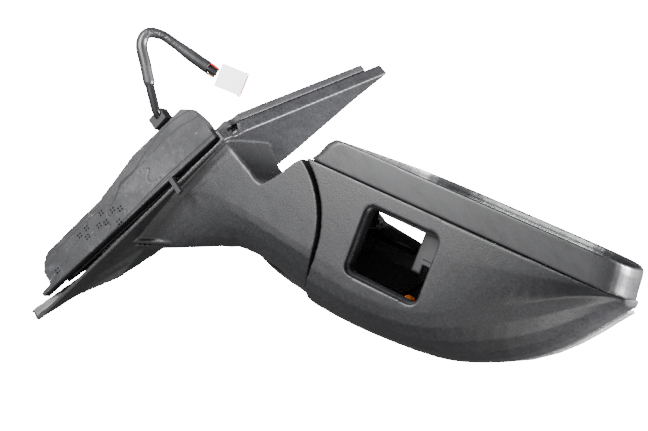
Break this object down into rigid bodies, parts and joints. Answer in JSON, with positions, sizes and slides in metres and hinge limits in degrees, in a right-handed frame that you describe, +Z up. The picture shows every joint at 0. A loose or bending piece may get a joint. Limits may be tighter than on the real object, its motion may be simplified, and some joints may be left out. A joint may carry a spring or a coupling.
{
  "type": "car door mirror",
  "caption": "Right-hand powered car door mirror: triangular door foot with a moulded arm, and a folding head with a lamp opening in its underside and a glass that pans and tilts.",
  "frame": {"origin": "on the plane of the bracket's flat door face, level with the underside of the arm, and level with the fold axis fore and aft", "axes": "+X outboard from the car, +Y to the front of the car, +Z up; the door face leans inboard by 10 degrees at its top"},
  "size_m": [0.3412, 0.3252, 0.1776],
  "materials": {
    "grained_black": "fine moulded grain",
    "cast_alloy": "as cast",
    "zinc_steel": "zinc plated",
    "foam_rubber": "matt",
    "inner_black": "smooth",
    "cable_black": "smooth sheath",
    "loom_tape": "wound cloth tape",
    "white_plastic": "smooth",
    "red_plastic": "smooth",
    "mirror_glass": "silvered",
    "clear_lens": "clear moulded",
    "amber_glass": "clear amber"
  },
  "bodies": {
    "base": {"base_cover": "grained_black", "base_bracket": "cast_alloy", "mount_nut_1": "zinc_steel", "mount_nut_2": "zinc_steel", "mount_nut_3": "zinc_steel", "sail_seal": "foam_rubber", "foot_gasket": "foam_rubber", "foot_shelf": "inner_black", "locating_pin": "inner_black", "loom_grommet": "foam_rubber", "cover_screw_1": "zinc_steel", "cover_screw_2": "zinc_steel", "pivot_spring": "zinc_steel", "pivot_clip": "zinc_steel", "pivot_washer": "zinc_steel", "detent_ring": "inner_black", "loom_cable": "cable_black", "loom_sleeve": "loom_tape", "loom_plug": "white_plastic", "loom_lock": "red_plastic", "arm_loom": "cable_black"},
    "head": {"lower_shell": "grained_black", "head_housing": "inner_black", "glass_surround": "grained_black", "carrier_frame": "inner_black", "actuator_body": "inner_black", "actuator_cover": "inner_black", "motor_pan": "zinc_steel", "motor_tilt": "zinc_steel", "actuator_screw_1": "zinc_steel", "actuator_screw_2": "zinc_steel", "actuator_screw_3": "zinc_steel", "shell_screw_1": "zinc_steel", "shell_screw_2": "zinc_steel", "head_loom": "cable_black", "bulb_lead": "cable_black", "indicator_housing": "white_plastic", "indicator_lens": "clear_lens", "bulb_socket": "inner_black", "indicator_bulb": "amber_glass"},
    "gimbal": {"gimbal": "white_plastic"},
    "glass": {"glass_holder": "inner_black", "heater_pad": "inner_black", "mirror_glass": "mirror_glass"},
    "jack_pan": {"jack_pan": "white_plastic"},
    "jack_tilt": {"jack_tilt": "white_plastic"},
    "nut_pan": {"nut_pan": "white_plastic"},
    "nut_tilt": {"nut_tilt": "white_plastic"}
  },
  "joints": [
    {"name": "head_fold", "type": "hinge", "parent": "base", "child": "head", "pos_m": [0.058, 0, 0.09], "axis": [0, 0, 1], "range_deg": [-34, 20]},
    {"name": "glass_pan", "type": "hinge", "parent": "head", "child": "gimbal", "pos_m": [0.1717, -0.1126, 0.063], "axis": [0, 0, 1], "range_deg": [-4, 4]},
    {"name": "glass_tilt", "type": "hinge", "parent": "gimbal", "child": "glass", "pos_m": [0.1717, -0.1126, 0.063], "axis": [0.8949, -0.4462, 0], "range_deg": [-4.5, 4.5]},
    {"name": "jack_pan_travel", "type": "slide", "parent": "head", "child": "jack_pan", "axis": [0.4462, 0.8949, 0], "range_m": [-0.0019, 0.0019]},
    {"name": "jack_tilt_travel", "type": "slide", "parent": "head", "child": "jack_tilt", "axis": [0.4462, 0.8949, 0], "range_m": [-0.0021, 0.0021]},
    {"name": "nut_pan_turn", "type": "hinge", "parent": "head", "child": "nut_pan", "pos_m": [0.2003, -0.1134, 0.063], "axis": [0.4462, 0.8949, 0], "range_deg": [-328, 328]},
    {"name": "nut_tilt_turn", "type": "hinge", "parent": "head", "child": "nut_tilt", "pos_m": [0.1771, -0.1018, 0.037], "axis": [0.4462, 0.8949, 0], "range_deg": [-369, 369]}
  ],
  "couplings": [
    {"joint": "jack_pan_travel", "follows": "glass_pan", "m_per_rad": 0.026},
    {"joint": "jack_tilt_travel", "follows": "glass_tilt", "m_per_rad": 0.026},
    {"joint": "nut_pan_turn", "follows": "glass_pan", "ratio": 81.68},
    {"joint": "nut_tilt_turn", "follows": "glass_tilt", "ratio": 81.68}
  ]
}
